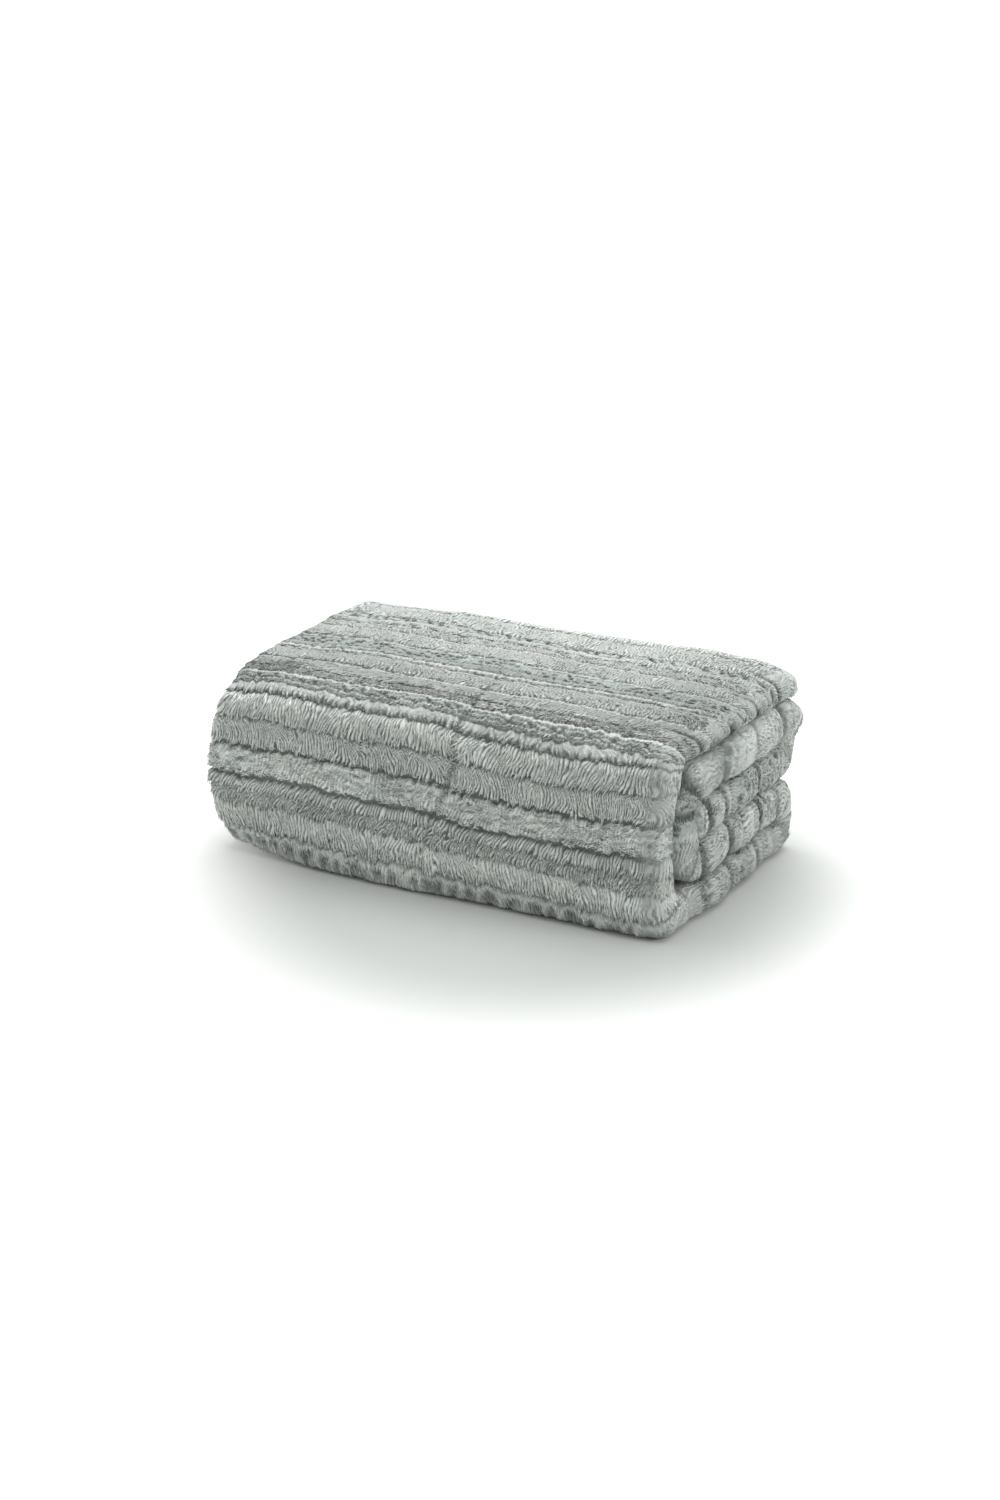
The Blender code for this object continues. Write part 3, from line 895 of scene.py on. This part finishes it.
class Shader:
    """A material's node tree, with its Principled shader."""

    def __init__(self, name, roughness, sheen=0.0):
        self.material = bpy.data.materials.new(name)
        self.material.use_nodes = True
        self.tree = self.material.node_tree
        self.principled = self.tree.nodes["Principled BSDF"]
        self.place = None
        self.feed(self.principled, {"Roughness": roughness, "Sheen Weight": sheen})
        self.feed(self.principled, {"Sheen Roughness": 0.6, "Specular IOR Level": 0.2})

    def feed(self, node, inputs):
        """Gives a node's inputs what they take: another node's output, or a value."""
        for key, value in inputs.items():
            if isinstance(value, bpy.types.NodeSocket):
                self.tree.links.new(value, node.inputs[key])
            else:
                node.inputs[key].default_value = value

    def node(self, kind, inputs, **settings):
        node = self.tree.nodes.new(kind)
        for key, value in settings.items():
            setattr(node, key, value)
        self.feed(node, inputs)
        return node

    def where(self):
        if self.place is None:
            self.place = self.node("ShaderNodeTexCoord", {}).outputs["Object"]
        return self.place

    def noise(self, scale, detail=2.0, roughness=0.5):
        inputs = {"Scale": scale, "Detail": detail, "Roughness": roughness, "Vector": self.where()}
        return self.node("ShaderNodeTexNoise", inputs).outputs["Fac"]

    def wave(self, direction, scale):
        inputs = {"Scale": scale, "Vector": self.where()}
        settings = {"wave_type": "BANDS", "bands_direction": direction, "wave_profile": "SIN"}
        return self.node("ShaderNodeTexWave", inputs, **settings).outputs["Fac"]

    def math(self, operation, first, second):
        return self.node("ShaderNodeMath", {0: first, 1: second}, operation=operation).outputs[0]

    def blend(self, first, share, second, other_share):
        parts = self.math("MULTIPLY", first, share), self.math("MULTIPLY", second, other_share)
        return self.math("ADD", *parts)

    def attribute(self, name):
        return self.node("ShaderNodeAttribute", {}, attribute_name=name).outputs["Fac"]

    def ramp(self, value, stops):
        node = self.node("ShaderNodeValToRGB", {"Fac": value})
        ramp = node.color_ramp
        while len(ramp.elements) < len(stops):
            ramp.elements.new(1.0)
        for element, (place, colour) in zip(ramp.elements, stops):
            element.position = place
            element.color = (*[float(c) for c in colour], 1.0)
        return node.outputs["Color"]

    def mix(self, amount, first, second):
        inputs = {"Factor": amount, "A": first, "B": second}
        return self.node("ShaderNodeMix", inputs, data_type="RGBA").outputs["Result"]

    def finish(self, colour, uneven, smoothest, roughest, distance, strength):
        """Colours the surface, and makes its roughness and its bumps follow one uneven pattern."""
        spread = self.node("ShaderNodeMapRange", {"Value": uneven, "To Min": smoothest, "To Max": roughest})
        inputs = {"Height": uneven, "Distance": distance, "Strength": strength}
        normal = self.node("ShaderNodeBump", inputs).outputs["Normal"]
        result = spread.outputs["Result"]
        self.feed(self.principled, {"Base Color": colour, "Roughness": result, "Normal": normal})
        return self.material


def plush_material():
    shader = Shader("carved plush", 0.95, 0.15)
    fine = shader.noise(900.0, 3.0, 0.6)
    patch = shader.noise(28.0, 2.0)
    value = shader.attribute("shade")
    for uneven, amount in ((fine, 0.30), (patch, 0.12)):
        value = shader.blend(value, 1.0, shader.math("SUBTRACT", uneven, 0.5), amount)
    places = (0.0, 0.25, 0.5, 0.75, 1.0)
    cool, plain, warm = (
        shader.ramp(value, [(place, fur_colour(0.9 * place, hue)) for place in places])
        for hue in (COOL_HUE, 1.0, WARM_HUE)
    )
    hue = shader.attribute("warmth")
    mixed = shader.mix(shader.math("MULTIPLY", hue, -1.0), plain, cool)
    return shader.finish(shader.mix(hue, mixed, warm), fine, 0.88, 1.0, 0.0006, 0.6)


def pile_materials():
    """One plain material for each tint, in the order that tint_slot numbers them."""
    tints = [(f"pile tint {i + 1}", i, 1.0) for i in range(TINTS)]
    tints += [(f"pile warm tint {i + 1}", i, WARM_HUE) for i in range(HUED_TINTS)]
    tints += [(f"pile cool tint {i + 1}", i, COOL_HUE) for i in range(HUED_TINTS)]
    out = []
    for name, i, hue in tints:
        shader = Shader(name, 0.92, 0.15)
        shader.feed(shader.principled, {"Base Color": (*fur_colour((i + 0.5) / TINTS, hue), 1.0)})
        out.append(shader.material)
    return out


def fleece_material():
    shader = Shader("lining fleece", 0.95, 0.3)
    curl = shader.noise(650.0, 3.0, 0.65)
    patch = shader.noise(22.0, 2.0)
    stops = [(0.25, (0.20, 0.215, 0.205)), (0.5, (0.31, 0.33, 0.315)), (0.75, (0.40, 0.42, 0.40))]
    return shader.finish(shader.ramp(shader.blend(curl, 0.7, patch, 0.3), stops), curl, 0.85, 1.0, 0.0008, 0.8)


def thread_material():
    shader = Shader("sewing thread", 0.6, 0.1)
    twist = shader.noise(1800.0, 2.0)
    stops = [(0.3, (0.22, 0.24, 0.225)), (0.7, (0.36, 0.385, 0.365))]
    return shader.finish(shader.ramp(twist, stops), twist, 0.5, 0.75, 0.0002, 0.7)


def tape_material():
    """Satin label tape: a close weave, paler floats, a little wear at random."""
    shader = Shader("label tape", 0.45, 0.1)
    weft, warp = shader.wave("Z", 430.0), shader.wave("X", 300.0)
    weave = shader.blend(weft, 0.6, warp, 0.4)
    stops = [(0.2, (0.60, 0.60, 0.58)), (0.5, (0.72, 0.72, 0.70)), (0.8, (0.80, 0.80, 0.78))]
    colour = shader.ramp(shader.blend(weave, 0.6, shader.noise(140.0, 3.0), 0.4), stops)
    return shader.finish(colour, weave, 0.35, 0.6, 0.0001, 0.5)


# -------- the throw

def face_back(u, s):
    return np.full(np.shape(u), FACE_BACK)


def lining_front(u, s):
    seam_height = JOIN - 0.15 * MM
    return seam_height + (LINING_FRONT - seam_height) * rounded(edge_share(u, s))


def lining_back(u, s):
    """The lining's outer side, whose nap is a little uneven."""
    seam_height = JOIN - 0.5 * MM
    nap = 0.2 * MM + 0.3 * MM * noise(u / 0.006, s / 0.006, 71)
    return seam_height + (LINING_BACK + nap - seam_height) * rounded(edge_share(u, s))


def build_face():
    rows = face_rows()
    cloth = Cloth(*flat_places(rows))
    obj, upper_count = closed_sheet(
        "face_fur", rows, lambda u, s: cloth.top(), coarse_rows(0.012, 0.008), face_back, plush_material())
    shade = np.full(len(obj.data.vertices), 0.35)
    shade[:upper_count] = cloth.shade
    set_values(obj, "shade", shade)
    warmth = np.zeros(len(shade))
    warmth[:upper_count] = cloth.warmth
    set_values(obj, "warmth", warmth)
    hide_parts("face_panel")
    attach(obj, "throw")
    return obj


def build_lining():
    rows = coarse_rows(0.008, 0.006)
    obj, _ = closed_sheet("lining_fleece", rows, lining_front, rows, lining_back, fleece_material())
    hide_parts("lining_panel")
    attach(obj, "throw")
    return obj


def build_pile():
    """The pile's locks in six pieces, close only where they show."""
    materials = pile_materials()
    _, wide, upper, narrow, middle, _ = U_MARKS
    marks = [float(outside(s)) for s in S_MARKS]
    edge = 0.002
    total = marks[-1]
    top_end = marks[1] + 0.5 * (marks[2] - marks[1])
    front_end = marks[4] + 0.012
    inset = 0.006
    # Each piece's patches, as (u from, u to, w from, w to), and how dense it is.
    pieces = {
        "pile_top": (0.92, [(upper + inset, narrow - inset, edge, top_end)]),
        "pile_front": (1.0, [(upper + inset, narrow - inset, top_end, front_end)]),
        "pile_right_end": (1.7, [(wide - inset, upper + inset, edge, total - edge)]),
        "pile_left_end": (1.25, [
            (narrow - inset, middle + inset, edge, total - edge),
            (edge, 0.016, edge, total - edge),
        ]),
        "pile_back": (0.85, [
            (upper + inset, narrow - inset, marks[5] - 0.012, marks[6] + 0.010),
            (0.016, wide - inset, marks[11] - 0.010, marks[12] + 0.012),
        ]),
        "pile_bottom": (0.3, [(upper + inset, narrow - inset, front_end, marks[5] - 0.012)]),
    }
    out = []
    for seed, (name, (density, patches)) in enumerate(pieces.items()):
        obj = tufts(name, patches, 100 + seed, materials, density)
        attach(obj, "throw")
        out.append(obj)
    return out


def build_throw():
    face = build_face()
    lining = build_lining()
    pile = build_pile()
    thread = seam("hem_thread", thread_material())
    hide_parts("perimeter_seam")
    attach(thread, "throw")
    tape = label("care_label_tape", tape_material())
    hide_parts("care_label")
    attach(tape, "label")


# -------- floor, light, camera

# The sweep is grey round the object, as a painted shadow, and turns to plain white between these distances
# from its centre, where it glows, as painted light, by the last amount. The shape below makes its grey patch
# slightly oval.
FLOOR_WHITE_FROM, FLOOR_WHITE_TO, FLOOR_PAINTED_GLOW = 0.21, 0.470, 0.75
PAINTED_SHADOW_CENTRE = (0.088, -0.076, 0.0)
PAINTED_SHADOW_SHAPE = (1.06, 1.02, 1.0)
# The floor's own grey, which round the object is the painted shadow.
FLOOR_PAINTED_SHADE_COLOUR = (0.42, 0.434, 0.42, 1.0)
FLOOR_HALF = 60.0


def floor_material():
    """A pale studio sweep: grey round the object as a painted shadow, and glowing to white further out with
    painted light.
    """
    shader = Shader("floor", 0.9)
    inputs = {0: shader.where(), 1: PAINTED_SHADOW_SHAPE}
    patch = shader.node("ShaderNodeVectorMath", inputs, operation="MULTIPLY")
    inputs = {0: patch.outputs["Vector"], 1: PAINTED_SHADOW_CENTRE}
    distance = shader.node("ShaderNodeVectorMath", inputs, operation="DISTANCE")
    inputs = {"From Min": FLOOR_WHITE_FROM, "From Max": FLOOR_WHITE_TO, "To Max": FLOOR_PAINTED_GLOW}
    inputs["Value"] = distance.outputs["Value"]
    painted_glow = shader.node("ShaderNodeMapRange", inputs, interpolation_type="SMOOTHSTEP")
    lit = {"Emission Color": (1.0, 1.0, 1.0, 1.0), "Emission Strength": painted_glow.outputs["Result"]}
    shader.feed(shader.principled, {"Base Color": FLOOR_PAINTED_SHADE_COLOUR, **lit})
    return shader.material


def build_floor():
    corners = FLOOR_HALF * np.array([(-1, -1, 0), (1, -1, 0), (1, 1, 0), (-1, 1, 0)], float)
    floor = make_object("floor", corners, [[0, 1, 2, 3]], [], floor_material())


def area_light(name, place, aim, size, power):
    data = bpy.data.lights.new(name, "AREA")
    data.shape = "RECTANGLE"
    data.size, data.size_y = size
    data.energy = power
    obj = bpy.data.objects.new(name, data)
    bpy.context.scene.collection.objects.link(obj)
    obj.location = place
    obj.rotation_euler = (Vector(aim) - Vector(place)).to_track_quat("-Z", "Y").to_euler()


WORLD_STRENGTH = 0.64
TOP_POWER = 41.0
FILL_POWER = 14.0


def build_light():
    world = bpy.data.worlds.new("studio")
    world.use_nodes = True
    background = world.node_tree.nodes["Background"]
    background.inputs["Color"].default_value = (0.985, 1.0, 0.985, 1.0)
    background.inputs["Strength"].default_value = WORLD_STRENGTH
    bpy.context.scene.world = world
    area_light("top softbox", (-0.20, 0.50, 1.6), (0.0, 0.0, 0.05), (2.0, 1.8), TOP_POWER)
    area_light("right fill", (1.5, -0.1, 0.9), (0.1, 0.0, 0.08), (1.0, 1.0), FILL_POWER)
    bpy.context.scene.view_settings.view_transform = "Standard"


LENGTH = 0.5126  # of the block
TURN, TILT = math.radians(28.34), math.radians(19.50)
AWAY, ASIDE, ABOVE = 5.047, 0.0026, 0.1813  # in block lengths
FOCAL = 62.7792  # mm, on a 36 mm sensor


def build_camera():
    forward = Vector((-math.sin(TURN) * math.cos(TILT), math.cos(TURN) * math.cos(TILT), -math.sin(TILT)))
    right = Vector((math.cos(TURN), math.sin(TURN), 0.0))
    up = right.cross(forward)
    data = bpy.data.cameras.new("camera")
    data.sensor_fit = "AUTO"
    data.sensor_width = 36.0
    data.lens = FOCAL
    data.clip_start, data.clip_end = 0.05, 200.0
    camera = bpy.data.objects.new("camera", data)
    bpy.context.scene.collection.objects.link(camera)
    place = (right * ASIDE + up * ABOVE - forward * AWAY) * LENGTH
    turn = Matrix((right, up, -forward)).transposed().to_4x4()
    camera.matrix_world = Matrix.Translation(place) @ turn
    bpy.context.scene.camera = camera


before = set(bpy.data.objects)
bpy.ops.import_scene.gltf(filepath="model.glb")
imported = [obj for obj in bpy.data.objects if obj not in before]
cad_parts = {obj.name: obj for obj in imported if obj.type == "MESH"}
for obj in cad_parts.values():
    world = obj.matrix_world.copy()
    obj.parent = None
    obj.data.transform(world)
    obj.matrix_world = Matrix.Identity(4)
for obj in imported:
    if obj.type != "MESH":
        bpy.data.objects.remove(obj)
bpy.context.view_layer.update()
build_camera()
build_throw()
build_floor()
build_light()
